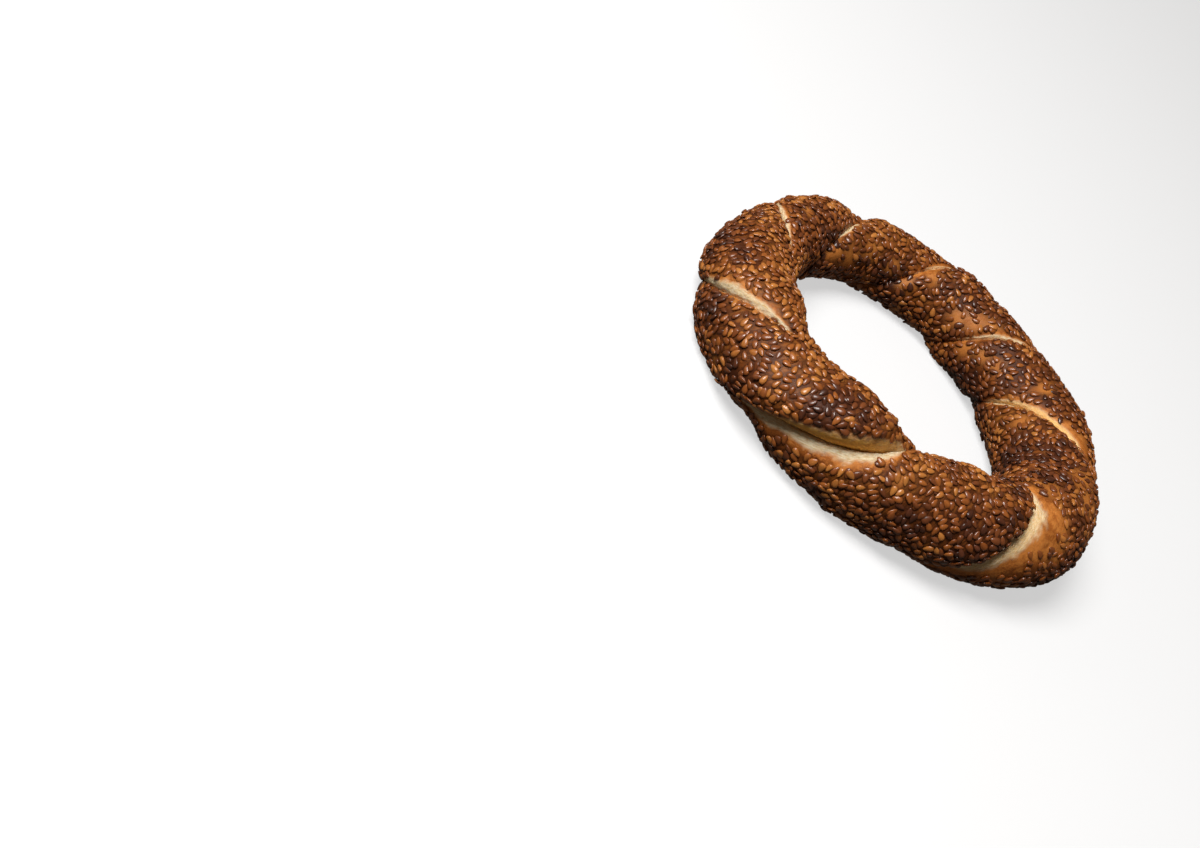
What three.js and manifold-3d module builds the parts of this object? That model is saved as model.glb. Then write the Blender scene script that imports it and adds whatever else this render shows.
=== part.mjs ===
// A simit: a ring of bread made of two dough strands twisted together and coated in sesame.
// Sizes are in millimetres and angles in degrees. The ring lies flat, with +Z up.
// Angles round the ring start at +X. Angles round the rope's section start at the ring's
// outer side, with 90 on top, 180 in the hole and 270 underneath.

import * as THREE from 'three';
import { mergeVertices } from 'three/addons/utils/BufferGeometryUtils.js';
import Module from 'manifold-3d';

// The ring and the rope
const RING_RADIUS = 67.3; // middle of the ring to the middle of the rope
const ROPE_RADIUS = 16.6; // rope before the seams are pressed into it
const TRAY_FLAT = 1.6; // height that the baking tray takes off the underside

// How the ring and the rope's thickness vary: waves in a full ring, cosine share, sine share
const RING_WAVES = [
  [2, 0.03, 0.0355],
  [3, 0.033, -0.008],
  [4, 0.004, -0.0015],
];
const ROPE_WAVES = [
  [1, 0.104, -0.061],
  [2, 0.018, 0.055],
];

// Low swellings and hollows of the rope. Each has its angle round the ring, its angle round the
// section, its height and its reach.
const LUMPS = [
  [22, 45, -1.1, 8],
  [40, 60, 0.8, 9],
  [60, 65, -0.9, 7],
  [60, 235, -2.2, 6],
  [85, 235, 1.5, 7],
  [100, 235, -0.8, 6],
  [101, 72, 1.5, 8],
  [142.5, 72, -2.7, 7],
  [157, 45, 1.4, 9],
  [192, 15, -1.5, 14],
  [227, 128, 1.6, 6],
  [230, 312, 1.5, 10],
  [243, 125, -2.1, 7],
  [253, 303, -2.6, 7],
  [269, 115, 2.3, 9],
  [284, 305, 1.2, 8],
  [289, 122, -2.8, 8],
  [300, 128, -2, 6],
  [307, 315, -1.3, 7],
  [318, 128, 1.8, 8],
  [354, 358, 1.3, 10],
];

// The seams between the two strands, in their order round the ring. A seam climbs round the
// rope, and `at` is the angle round the ring at which it passes each of SEAM_LEVELS.
// depth: how far it is pressed in. before and after: width of its two flanks.
// swell: how far the strand stands proud just before it. bare: width without seeds on each
// side. middle and reach: where round the section the seam gapes, and how far from there.
const SEAM_LEVELS = [-10, 50, 100, 170];
const SECTION_START = -90; // a seam's turn round the section starts underneath
const STRANDS = 2;
const SEAMS = [
  {
    at: [-1, 14, 28, 50], depth: 3.4, before: 2, after: 3.4, swell: 1,
    bare: [2, 4], middle: 110, reach: 110,
  },
  {
    at: [45, 63, 72, 83.5], depth: 3, before: 2, after: 3, swell: 0.8,
    bare: [1, 4], middle: 110, reach: 110,
  },
  {
    at: [84, 100, 111, 124], depth: 2.4, before: 2, after: 2.6, swell: 0.8,
    bare: [2, 3], middle: 100, reach: 110,
  },
  {
    at: [119, 140, 151, 173], depth: 3.4, before: 2.2, after: 3, swell: 1.2,
    bare: [3, 2], middle: 80, reach: 110,
  },
  {
    at: [170, 182.5, 194.5, 214], depth: 2.8, before: 2, after: 2.6, swell: 0.4,
    bare: [3, 1], middle: 80, reach: 110,
  },
  {
    at: [220, 233, 247, 264], depth: 3.2, before: 2.6, after: 3.6, swell: 1,
    bare: [5, 1], middle: 30, reach: 100,
  },
  {
    at: [255, 277.3, 289.5, 305], depth: 5.4, before: 3, after: 5.5, swell: 4.5,
    bare: [5, 8], middle: 40, reach: 110,
  },
  {
    at: [322.5, 332.3, 341.5, 350], depth: 4.4, before: 1.8, after: 6, swell: 1.6,
    bare: [1, 14], middle: 50, reach: 120,
  },
];
const CLOSED_SEAM = { depth: 2.2, before: 1.8, after: 2.2, swell: 0.4, bare: [1, 1] };
const SWELL_WIDTH = 6; // distance from a seam to the top of the swelling before it

// The mesh of the rope: sections round the ring, and points across each strand
const SECTIONS = 116;
const STRAND_POINTS = [0, 0.06, 0.16, 0.32, 0.5, 0.68, 0.84, 0.94];
const COLUMNS = STRAND_POINTS.length * STRANDS;

// The sesame seeds that are large enough to model, a sparse even share of the real coat
const SEED_LENGTH = 3.4;
const SEED_WIDTH = 2.1;
const SEED_PROUD = 0.6; // height of a seed's shoulder above the crust
const SEED_CROWN = 0.25; // and of its middle above the shoulder
const SEED_ROOT = 0.7; // how far a seed reaches into the crust
const SEED_SHOULDER = 0.6; // size of the shoulder's outline as a share of the seed's
const SEED_TAPER = 0.3; // how much narrower a seed is at its pointed end
const SEED_SIDES = 6;
const SEED_COUNT = 160;
const SEED_SPACING = 10;
const SEED_LOWEST = 4; // no seed is modelled nearer to the tray than this
const SEED_TRIES = 40000;
const RANDOM_SEED = 7;

const DEG = Math.PI / 180;
const UP = new THREE.Vector3(0, 0, 1);

function waves(list, degrees) {
  let sum = 1;
  for (const [count, cosine, sine] of list) {
    const angle = count * degrees * DEG;
    sum += cosine * Math.cos(angle) + sine * Math.sin(angle);
  }
  return sum;
}

function ropeRadius(degrees) {
  return ROPE_RADIUS * waves(ROPE_WAVES, degrees);
}

// The middle of the rope at an angle round the ring
function ropeMiddle(degrees) {
  const radius = RING_RADIUS * waves(RING_WAVES, degrees);
  const angle = degrees * DEG;
  const height = ropeRadius(degrees) - TRAY_FLAT;
  return new THREE.Vector3(radius * Math.cos(angle), radius * Math.sin(angle), height);
}

// The level direction that points out of the ring, square to the rope
function outwardAt(degrees) {
  const step = ropeMiddle(degrees + 1).sub(ropeMiddle(degrees - 1));
  return new THREE.Vector3(step.y, -step.x, 0).normalize();
}

// One strand's seam as a smooth rising curve: the angle round the section, in degrees that
// keep counting from turn to turn, and its slope, at an angle round the ring
function seamCurve(strand) {
  const knots = [];
  SEAMS.forEach((seam, index) => {
    if (index % STRANDS === strand) {
      const turn = (index - strand) / STRANDS;
      seam.at.forEach((angle, k) => knots.push([angle, SEAM_LEVELS[k] + 360 * turn]));
    }
  });
  const rise = (360 * SEAMS.length) / STRANDS;
  const before = knots.slice(-2).map(([x, y]) => [x - 360, y - rise]);
  const after = knots.slice(0, 2).map(([x, y]) => [x + 360, y + rise]);
  const points = [...before, ...knots, ...after];
  const grade = (k) => (points[k + 1][1] - points[k][1]) / (points[k + 1][0] - points[k][0]);
  const tangent = (k) => (2 * grade(k - 1) * grade(k)) / (grade(k - 1) + grade(k));
  const start = knots[0][0];
  return (degrees) => {
    const rounds = Math.floor((degrees - start) / 360);
    const x = degrees - rounds * 360;
    let k = 2;
    while (points[k + 1][0] <= x) {
      k += 1;
    }
    const span = points[k + 1][0] - points[k][0];
    const climb = points[k + 1][1] - points[k][1];
    const t = (x - points[k][0]) / span;
    const m0 = tangent(k);
    const m1 = tangent(k + 1);
    const angle = points[k][1] + climb * t * t * (3 - 2 * t)
      + span * t * (1 - t) * (m0 * (1 - t) - m1 * t);
    const slope = (6 * climb * t * (1 - t)) / span
      + m0 * (1 - t) * (1 - 3 * t) - m1 * t * (2 - 3 * t);
    return { angle: angle + rounds * rise, slope };
  };
}

const SEAM_CURVES = [seamCurve(0), seamCurve(1)]; // one for each strand

// The sizes of a strand's seam where it passes an angle round the section: those of the
// seam there, which fade to the closed seam's away from the stretch where it gapes
function seamSizes(strand, angle) {
  const turn = Math.floor((angle - SECTION_START) / 360);
  const turns = SEAMS.length / STRANDS;
  const seam = SEAMS[THREE.MathUtils.euclideanModulo(turn, turns) * STRANDS + strand];
  const away = Math.min(Math.abs(angle - 360 * turn - seam.middle) / seam.reach, 1);
  const share = Math.cos((away * Math.PI) / 2) ** 2;
  const mix = (closed, open) => closed + (open - closed) * share;
  return {
    depth: mix(CLOSED_SEAM.depth, seam.depth),
    before: mix(CLOSED_SEAM.before, seam.before),
    after: mix(CLOSED_SEAM.after, seam.after),
    swell: mix(CLOSED_SEAM.swell, seam.swell),
    bare: [mix(CLOSED_SEAM.bare[0], seam.bare[0]), mix(CLOSED_SEAM.bare[1], seam.bare[1])],
  };
}

// The two flanks of each seam as seen from a point of the rope's surface: how far off the
// seam lies, on which side the point is, and the seam's sizes there
function seamsNear(degrees, angle) {
  const radius = ropeRadius(degrees);
  const found = [];
  for (let strand = 0; strand < STRANDS; strand += 1) {
    const seam = SEAM_CURVES[strand](degrees);
    const lean = (seam.slope * radius) / RING_RADIUS;
    const above = THREE.MathUtils.euclideanModulo(angle - seam.angle, 360);
    for (const gap of [above, above - 360]) {
      found.push({
        before: gap >= 0,
        distance: (Math.abs(gap) * DEG * radius) / Math.hypot(1, lean),
        sizes: seamSizes(strand, seam.angle + (gap * lean * lean) / (1 + lean * lean)),
      });
    }
  }
  return found;
}

// The shortest turn from one angle to another
function turnBetween(from, to) {
  return THREE.MathUtils.euclideanModulo(to - from + 180, 360) - 180;
}

function lumpHeight(degrees, angle) {
  let height = 0;
  for (const [ringAngle, sectionAngle, rise, reach] of LUMPS) {
    const along = RING_RADIUS * DEG * turnBetween(degrees, ringAngle);
    const around = ropeRadius(degrees) * DEG * turnBetween(angle, sectionAngle);
    height += rise * Math.exp(-(along ** 2 + around ** 2) / reach ** 2);
  }
  return height;
}

// The distance from the rope's middle to its surface
function surfaceRadius(degrees, angle) {
  let radius = ropeRadius(degrees) + lumpHeight(degrees, angle);
  for (const { before, distance, sizes } of seamsNear(degrees, angle)) {
    const width = before ? sizes.before : sizes.after;
    radius -= sizes.depth * Math.exp(-distance / width);
    if (before) {
      const share = distance / SWELL_WIDTH;
      radius += sizes.swell * share * Math.exp(1 - share);
    }
  }
  return radius;
}

function surfacePoint(degrees, angle) {
  const radius = surfaceRadius(degrees, angle);
  const point = ropeMiddle(degrees);
  point.addScaledVector(outwardAt(degrees), radius * Math.cos(angle * DEG));
  return point.addScaledVector(UP, radius * Math.sin(angle * DEG));
}

// The points of one section, from the first strand's seam once round the rope
function sectionAngles(degrees) {
  const first = SEAM_CURVES[0](degrees).angle;
  const width = THREE.MathUtils.euclideanModulo(SEAM_CURVES[1](degrees).angle - first, 360);
  const firstStrand = STRAND_POINTS.map((share) => first + share * width);
  const secondStrand = STRAND_POINTS.map((share) => first + width + share * (360 - width));
  return [...firstStrand, ...secondStrand, first + 360];
}

// The twisted rope's lattice, whose columns follow the seams. Each place is an angle round
// the ring and one round the section. The last row and column lie on the first ones.
function ropeLattice() {
  const rows = [];
  for (let row = 0; row <= SECTIONS; row += 1) {
    const degrees = (360 * row) / SECTIONS;
    rows.push(sectionAngles(degrees).map((angle) => [degrees, angle]));
  }
  return rows;
}

// The lattice's faces, each as three corners that name a row and a column
function ropeFaces() {
  const faces = [];
  for (let row = 0; row < SECTIONS; row += 1) {
    for (let column = 0; column < COLUMNS; column += 1) {
      const a = [row, column];
      const b = [row + 1, column];
      const c = [row + 1, column + 1];
      const d = [row, column + 1];
      faces.push([a, b, d], [b, c, d]);
    }
  }
  return faces;
}

function ropeGeometry(lattice, faces) {
  const places = lattice.slice(0, SECTIONS).flatMap((row) => row.slice(0, COLUMNS));
  const points = places.map(([degrees, angle]) => surfacePoint(degrees, angle));
  const geometry = new THREE.BufferGeometry().setFromPoints(points);
  const corners = faces.flat();
  geometry.setIndex(corners.map(([row, column]) => (row % SECTIONS) * COLUMNS + (column % COLUMNS)));
  return geometry;
}

// A small repeatable random number source
function randomSource(start) {
  let state = start;
  return () => {
    state = (state + 0x6d2b79f5) | 0;
    let mixed = Math.imul(state ^ (state >>> 15), 1 | state);
    mixed = (mixed + Math.imul(mixed ^ (mixed >>> 7), 61 | mixed)) ^ mixed;
    return ((mixed ^ (mixed >>> 14)) >>> 0) / 2 ** 32;
  };
}

// One seed on a level crust at Z 0: lying along X, domed, and pointed at its +X end
function seedGeometry() {
  const height = SEED_ROOT + SEED_PROUD;
  const geometry = new THREE.CylinderGeometry(SEED_SHOULDER, 1, height, SEED_SIDES);
  geometry.rotateX(Math.PI / 2);
  geometry.rotateZ(Math.PI / 2);
  const position = geometry.attributes.position;
  for (let k = 0; k < position.count; k += 1) {
    const x = position.getX(k);
    const y = position.getY(k) * (1 - SEED_TAPER * x);
    const z = position.getZ(k) + height / 2 - SEED_ROOT;
    const crown = Math.hypot(x, y) < SEED_SHOULDER / 2 && z > 0 ? SEED_CROWN : 0;
    position.setXYZ(k, (x * SEED_LENGTH) / 2, (y * SEED_WIDTH) / 2, z + crown);
  }
  return geometry;
}

// True where the crust carries seeds: off the tray and clear of the pale seams
function carriesSeeds(degrees, angle) {
  return seamsNear(degrees, angle).every(({ before, distance, sizes }) => {
    const bare = before ? sizes.bare[0] : sizes.bare[1];
    return distance > bare + SEED_LENGTH / 2;
  });
}

// Where each seed lies, drawn evenly over the faces of the rope
function seedPlaces(lattice, faces) {
  const random = randomSource(RANDOM_SEED);
  const placesOf = (face) => face.map(([row, column]) => lattice[row][column]);
  const triangles = faces.map((face) => {
    const corners = placesOf(face).map(([degrees, angle]) => surfacePoint(degrees, angle));
    return new THREE.Triangle(...corners);
  });
  let total = 0;
  const areas = triangles.map((triangle) => {
    total += triangle.getArea();
    return total;
  });
  const found = [];
  for (let tries = 0; tries < SEED_TRIES && found.length < SEED_COUNT; tries += 1) {
    const mark = random() * total;
    const chosen = areas.findIndex((sum) => sum >= mark);
    const side = Math.sqrt(random());
    const along = random();
    const turn = random() * 360;
    const shares = [1 - side, side * (1 - along), side * along];
    const triangle = triangles[chosen];
    const point = new THREE.Vector3()
      .addScaledVector(triangle.a, shares[0])
      .addScaledVector(triangle.b, shares[1])
      .addScaledVector(triangle.c, shares[2]);
    const places = placesOf(faces[chosen]);
    const blend = (k) => shares.reduce((sum, share, n) => sum + share * places[n][k], 0);
    const clear = found.every((other) => other.point.distanceTo(point) > SEED_SPACING);
    if (clear && point.z > SEED_LOWEST && carriesSeeds(blend(0), blend(1))) {
      found.push({ point, turn, normal: triangle.getNormal(new THREE.Vector3()) });
    }
  }
  return found;
}

function placedSeed({ point, turn, normal }) {
  const across = new THREE.Vector3().crossVectors(normal, UP).normalize();
  const along = new THREE.Vector3().crossVectors(across, normal);
  const basis = new THREE.Matrix4().makeBasis(along, across, normal);
  const geometry = seedGeometry();
  geometry.rotateZ(turn * DEG);
  geometry.applyMatrix4(basis);
  geometry.translate(point.x, point.y, point.z);
  return geometry;
}

const wasm = await Module();
wasm.setup();

// A closed geometry as a solid that can be joined or cut
function solidOf(geometry) {
  const bare = geometry.clone();
  bare.deleteAttribute('normal');
  bare.deleteAttribute('uv');
  const merged = mergeVertices(bare);
  return new wasm.Manifold(new wasm.Mesh({
    numProp: 3,
    vertProperties: new Float32Array(merged.attributes.position.array),
    triVerts: new Uint32Array(merged.index.array),
  }));
}

// The part of the space below the tray's surface that the rope reaches
function trayBlock() {
  const width = 4 * (RING_RADIUS + ROPE_RADIUS);
  const block = new THREE.BoxGeometry(width, width, ROPE_RADIUS);
  block.translate(0, 0, -ROPE_RADIUS / 2);
  return block;
}

function simitGeometry() {
  const lattice = ropeLattice();
  const faces = ropeFaces();
  let solid = solidOf(ropeGeometry(lattice, faces));
  for (const place of seedPlaces(lattice, faces)) {
    solid = solid.add(solidOf(placedSeed(place)));
  }
  const mesh = solid.subtract(solidOf(trayBlock())).getMesh();
  const geometry = new THREE.BufferGeometry();
  geometry.setAttribute('position', new THREE.BufferAttribute(mesh.vertProperties, mesh.numProp));
  geometry.setIndex(new THREE.BufferAttribute(mesh.triVerts, 1));
  geometry.computeBoundingBox();
  const middle = geometry.boundingBox.getCenter(new THREE.Vector3());
  geometry.translate(-middle.x, -middle.y, 0);
  geometry.computeVertexNormals();
  return geometry;
}

const crust = new THREE.MeshStandardMaterial({ color: 0x8c5022, roughness: 0.5, metalness: 0 });
const simit = new THREE.Mesh(simitGeometry(), crust);
simit.name = 'simit';

const group = new THREE.Group();
group.add(simit);

export default group;
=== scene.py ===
"""A simit: a ring of bread twisted from two dough strands and coated in toasted sesame.

The dough is one closed mesh whose columns follow the two seams. The seeds lie on it at true
size, one mesh for each degree of toasting. Sizes are in millimetres and angles in degrees
until a mesh is made. Angles round the ring start at +X. Angles round the rope's section start
at the ring's outer side, with 90 on top, 180 in the hole and 270 underneath.
"""

import math

import bpy
import numpy as np
from mathutils import Matrix, Vector, noise
from mathutils.kdtree import KDTree


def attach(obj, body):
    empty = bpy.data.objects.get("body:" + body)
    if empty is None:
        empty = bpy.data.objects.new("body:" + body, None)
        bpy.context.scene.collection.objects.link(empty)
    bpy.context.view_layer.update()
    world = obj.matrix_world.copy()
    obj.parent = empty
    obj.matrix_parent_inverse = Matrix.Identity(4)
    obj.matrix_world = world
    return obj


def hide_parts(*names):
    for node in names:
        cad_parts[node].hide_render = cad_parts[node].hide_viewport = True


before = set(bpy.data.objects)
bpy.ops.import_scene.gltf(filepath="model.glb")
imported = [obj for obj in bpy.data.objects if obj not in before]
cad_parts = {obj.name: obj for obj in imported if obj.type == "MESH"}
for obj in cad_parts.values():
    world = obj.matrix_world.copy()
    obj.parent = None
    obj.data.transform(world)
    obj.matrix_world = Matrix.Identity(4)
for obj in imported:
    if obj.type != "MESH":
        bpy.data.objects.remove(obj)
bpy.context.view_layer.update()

MM = 0.001
RANDOM_SEED = 11

# The ring and the rope
RING_RADIUS = 67.3
ROPE_RADIUS = 16.6
TRAY_FLAT = 1.6
RING_WAVES = ((2, 0.03, 0.0355), (3, 0.033, -0.008), (4, 0.004, -0.0015))
ROPE_WAVES = ((1, 0.104, -0.061), (2, 0.018, 0.055))

# Low swellings and hollows of the rope, as in the solid: the angle round the ring, the angle
# round the section, the height and the reach.
LUMPS = (
    (22, 45, -1.1, 8), (40, 60, 0.8, 9), (60, 65, -0.9, 7), (60, 235, -2.2, 6), (85, 235, 1.5, 7),
    (100, 235, -0.8, 6), (101, 72, 1.5, 8), (142.5, 72, -2.7, 7), (157, 45, 1.4, 9),
    (192, 15, -1.5, 14), (227, 128, 1.6, 6), (230, 312, 1.5, 10), (243, 125, -2.1, 7),
    (253, 303, -2.6, 7), (269, 115, 2.3, 9), (284, 305, 1.2, 8), (289, 122, -2.8, 8),
    (300, 128, -2, 6), (307, 315, -1.3, 7), (318, 128, 1.8, 8), (354, 358, 1.3, 10),
)

# The seams between the strands, in their order round the ring, as in the solid: the angles
# round the ring at which each passes SEAM_LEVELS, how deep it is, how wide its flanks are
# before and after it, how proud the strand stands before it, and where it gapes.
SEAM_LEVELS = (-10, 50, 100, 170)
SECTION_START = -90
STRANDS = 2
SEAMS = (
    dict(at=(-1, 14, 28, 50), depth=3.4, before=2.0, after=3.4, swell=1.0),
    dict(at=(45, 63, 72, 83.5), depth=3.0, before=2.0, after=3.0, swell=0.8),
    dict(at=(84, 100, 111, 124), depth=2.4, before=2.0, after=2.6, swell=0.8),
    dict(at=(119, 140, 151, 173), depth=3.4, before=2.2, after=3.0, swell=1.2),
    dict(at=(170, 182.5, 194.5, 214), depth=2.8, before=2.0, after=2.6, swell=0.4),
    dict(at=(220, 233, 247, 264), depth=3.2, before=2.6, after=3.6, swell=1.0),
    dict(at=(255, 277.3, 289.5, 305), depth=5.4, before=3.0, after=5.5, swell=4.5),
    dict(at=(322.5, 332.3, 341.5, 350), depth=4.4, before=1.8, after=6.0, swell=1.6),
)
GAPES = (
    dict(middle=110, reach=110), dict(middle=110, reach=110), dict(middle=100, reach=110),
    dict(middle=80, reach=110), dict(middle=80, reach=110), dict(middle=30, reach=100),
    dict(middle=40, reach=110), dict(middle=50, reach=120),
)
CLOSED_SEAM = dict(depth=2.2, before=1.8, after=2.2, swell=0.4)

# The torn bands beside the seams, in the same order: where each is widest and how far it
# reaches, and on the seam's two sides the widths of pale crumb, of crust with no seeds and of
# golden crust with few, and how tan the crumb is. The crack is the dark slit between them.
TORN = (
    dict(middle=118, reach=112, pale=(1.2, 2.5), bare=(1.7, 3.6), golden=(3.0, 5.5),
         tan=(0.2, 0.6), crack=1.4),
    dict(middle=118, reach=112, pale=(0.4, 1.8), bare=(0.7, 2.5), golden=(2.4, 4.0),
         tan=(0.2, 0.1), crack=0.7),
    dict(middle=100, reach=95, pale=(0.3, 0.8), bare=(0.9, 1.4), golden=(3.0, 3.0),
         tan=(0.2, 0.3), crack=0.4),
    dict(middle=70, reach=90, pale=(1.7, 0.3), bare=(2.4, 0.5), golden=(4.0, 1.4),
         tan=(0.2, 0.0), crack=0.5),
    dict(middle=60, reach=100, pale=(1.5, 0.3), bare=(2.0, 0.4), golden=(3.2, 0.8),
         tan=(0.1, 0.0), crack=0.5),
    dict(middle=28, reach=74, pale=(3.0, 0.4), bare=(3.8, 0.9), golden=(5.2, 1.8),
         tan=(0.1, 0.0), crack=0.6),
    dict(middle=36, reach=105, pale=(3.2, 4.3), bare=(3.6, 6.6), golden=(3.8, 9.0),
         tan=(0.95, 0.0), crack=2.8),
    dict(middle=50, reach=125, pale=(0.2, 5.0), bare=(0.3, 8.0), golden=(0.6, 28.0),
         tan=(0.0, 0.3), crack=0.8),
)
WHOLE_CRUST = dict(pale=(0.0, 0.0), bare=(0.0, 0.1), golden=(0.0, 0.3), tan=(0.0, 0.0), crack=0.4)
CRACK_WIDTH = 0.5
SWELL_WIDTH = 6.0
STRAND_SHIFT = 9.0  # sets the fibres of one strand apart from the other's

# The dough's mesh
SECTIONS = 900
STRAND_COLUMNS = 96
SEAM_CROWDING = 0.144  # how far the columns draw together at the seams
DOUGH_REST = 0.35  # the dough's underside, so that seeds pressed flat under it touch the tray

# Noise over the dough: how large its lumps are, its octaves, and a shift that sets it apart
NOISES = dict(
    lumps=(17.0, 2, 0.0), wrinkles=(4.5, 2, 31.0), crumbs=(1.3, 2, 77.0), wander=(7.0, 4, 53.0),
    ragged=(2.0, 2, 61.0), patchy=(22.0, 3, 11.0), thin=(12.0, 2, 91.0),
)
LUMP_HEIGHT = 0.45
WRINKLE_HEIGHT = 0.13
CRUMB_HEIGHT = 0.28
BAND_WANDER = 0.28  # how unevenly wide the torn bands are, in long waves and in short ones
BAND_RAGGED = 0.2

# How toasted and shaded the crust is, from 0 to 1: toasted everywhere, painted shade on the
# ring's far right, toasted in patches, painted shade low on the outer wall, and toasted at the
# places listed further down
TOAST_AND_SHADE = dict(everywhere=0.24, painted_far_shade=0.14, patchy=0.4, painted_low_shade=0.3, places=0.75)
FAR_SIDE = 50  # the angle round the ring where the painted shade on the far side is deepest
LOW_SIDE = 20  # the angle round the section below which the outer wall counts as low

# The camera of the photograph, from the ring's middle, and its lens in photograph pixels
CAMERA_PLACE = (0.0, -450.01, 270.39)
CAMERA_AXES = ((0.6368, -0.7629, 0.1118), (0.5520, 0.3498, -0.7569), (0.5383, 0.5438, 0.6438))
LENS_PIXELS = 1365
PHOTO_WIDTH = 1200
SENSOR_WIDTH = 36.0


# The ring's form


def waves(shares, degrees):
    """1 and a few whole waves round the ring: how many, and their cosine and sine shares."""
    total = np.ones_like(degrees)
    for count, cosine, sine in shares:
        angle = np.radians(count * degrees)
        total = total + cosine * np.cos(angle) + sine * np.sin(angle)
    return total


def rope_radius(degrees):
    """The plain rope's radius, before its lumps and seams."""
    return ROPE_RADIUS * waves(ROPE_WAVES, degrees)


def rope_middle(degrees):
    """Points on the rope's middle line, which lies as high as the rope's flat rest asks."""
    radius = RING_RADIUS * waves(RING_WAVES, degrees)
    angle = np.radians(degrees)
    height = rope_radius(degrees) - TRAY_FLAT
    return np.stack([radius * np.cos(angle), radius * np.sin(angle), height], axis=-1)


def outward_at(degrees):
    """The level direction out of the ring, square to the rope's middle line."""
    step = rope_middle(degrees + 1) - rope_middle(degrees - 1)
    across = np.stack([step[..., 1], -step[..., 0], np.zeros_like(degrees)], axis=-1)
    return across / np.linalg.norm(across, axis=-1, keepdims=True)


def seam_curve(strand):
    """One strand's seam as a smooth rising curve: its angle round the section, which keeps
    counting from turn to turn, and its slope, at an angle round the ring."""
    angles, levels = [], []
    for turn, seam in enumerate(SEAMS[strand::STRANDS]):
        angles += seam["at"]
        levels += [level + 360 * turn for level in SEAM_LEVELS]
    rise = 360 * len(SEAMS) // STRANDS
    x = np.array([angles[-2] - 360, angles[-1] - 360, *angles, angles[0] + 360, angles[1] + 360])
    y = np.array([levels[-2] - rise, levels[-1] - rise, *levels, levels[0] + rise, levels[1] + rise])
    span = np.diff(x)
    climb = np.diff(y)
    grade = climb / span
    tangent = np.zeros_like(x)
    tangent[1:-1] = 2 * grade[:-1] * grade[1:] / (grade[:-1] + grade[1:])

    def curve(degrees):
        rounds = np.floor((degrees - angles[0]) / 360)
        place = degrees - rounds * 360
        k = np.clip(np.searchsorted(x, place, side="right") - 1, 1, len(x) - 3)
        t = (place - x[k]) / span[k]
        bend = tangent[k] * (1 - t) - tangent[k + 1] * t
        angle = y[k] + climb[k] * t * t * (3 - 2 * t) + span[k] * t * (1 - t) * bend
        slope = 6 * climb[k] * t * (1 - t) / span[k]
        slope += tangent[k] * (1 - t) * (1 - 3 * t) - tangent[k + 1] * t * (2 - 3 * t)
        return angle + rounds * rise, slope

    return curve


SEAM_CURVES = [seam_curve(strand) for strand in range(STRANDS)]


def seam_share(strand, angle, places):
    """Which seam a strand has at an angle round the section, and how wide it is open there."""
    turn = np.floor((angle - SECTION_START) / 360).astype(int)
    index = np.mod(turn, len(SEAMS) // STRANDS) * STRANDS + strand
    middle = np.array([place["middle"] for place in places], float)[index]
    reach = np.array([place["reach"] for place in places], float)[index]
    away = np.clip(np.abs(angle - 360 * turn - middle) / reach, 0, 1)
    return index, np.cos(away * np.pi / 2) ** 2


def seam_size(strand, angle, name):
    """A size of the groove, which fades to the closed seam's size where it doesn't gape."""
    index, share = seam_share(strand, angle, GAPES)
    opened = np.array([seam[name] for seam in SEAMS], float)[index]
    return CLOSED_SEAM[name] + (opened - CLOSED_SEAM[name]) * share


def torn_size(strand, angle, name, side=None):
    """A size of the torn band on one side of the seam, which fades out at both its ends."""
    index, share = seam_share(strand, angle, TORN)
    opened = [band[name] if side is None else band[name][side] for band in TORN]
    closed = WHOLE_CRUST[name] if side is None else WHOLE_CRUST[name][side]
    return closed + (np.array(opened, float)[index] - closed) * share


def seams_near(degrees, angle):
    """Each seam flank as seen from points of the rope: the strand, its side (0 before the
    seam, 1 after it), how far off it lies, and the seam's own angle nearest to the point."""
    radius = rope_radius(degrees)
    for strand in range(STRANDS):
        seam_angle, slope = SEAM_CURVES[strand](degrees)
        lean = slope * radius / RING_RADIUS
        above = np.mod(angle - seam_angle, 360)
        for side, gap in enumerate((above, above - 360)):
            distance = np.radians(np.abs(gap)) * radius / np.hypot(1, lean)
            foot = seam_angle + gap * lean ** 2 / (1 + lean ** 2)
            yield strand, side, distance, foot


def turn_between(start, end):
    """The shorter turn from one angle to another, from -180 to 180."""
    return np.mod(end - start + 180, 360) - 180


def lump_height(degrees, angle):
    """How far the swellings and hollows lift the surface."""
    height = np.zeros_like(degrees)
    for ring_angle, section_angle, rise, reach in LUMPS:
        along = RING_RADIUS * np.radians(turn_between(degrees, ring_angle))
        around = rope_radius(degrees) * np.radians(turn_between(angle, section_angle))
        height = height + rise * np.exp(-(along ** 2 + around ** 2) / reach ** 2)
    return height


def surface_radius(degrees, angle):
    """The rope's radius with its lumps, its seams and cracks, and the swell beside them."""
    radius = rope_radius(degrees) + lump_height(degrees, angle)
    for strand, side, distance, foot in seams_near(degrees, angle):
        width = seam_size(strand, foot, ("before", "after")[side])
        radius = radius - seam_size(strand, foot, "depth") * np.exp(-distance / width)
        radius = radius - torn_size(strand, foot, "crack") * np.exp(-(distance / CRACK_WIDTH) ** 2)
        if side == 0:
            share = distance / SWELL_WIDTH
            radius = radius + seam_size(strand, foot, "swell") * share * np.exp(1 - share)
    return radius


def edge_share(distance, width, softness):
    """1 inside a band of a width, 0 outside it, and 0 where there is no band."""
    share = np.clip((width - distance) / (softness * width + 0.2) + 0.5, 0, 1)
    return share * np.clip((width - 0.15) / 0.3, 0, 1)


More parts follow.
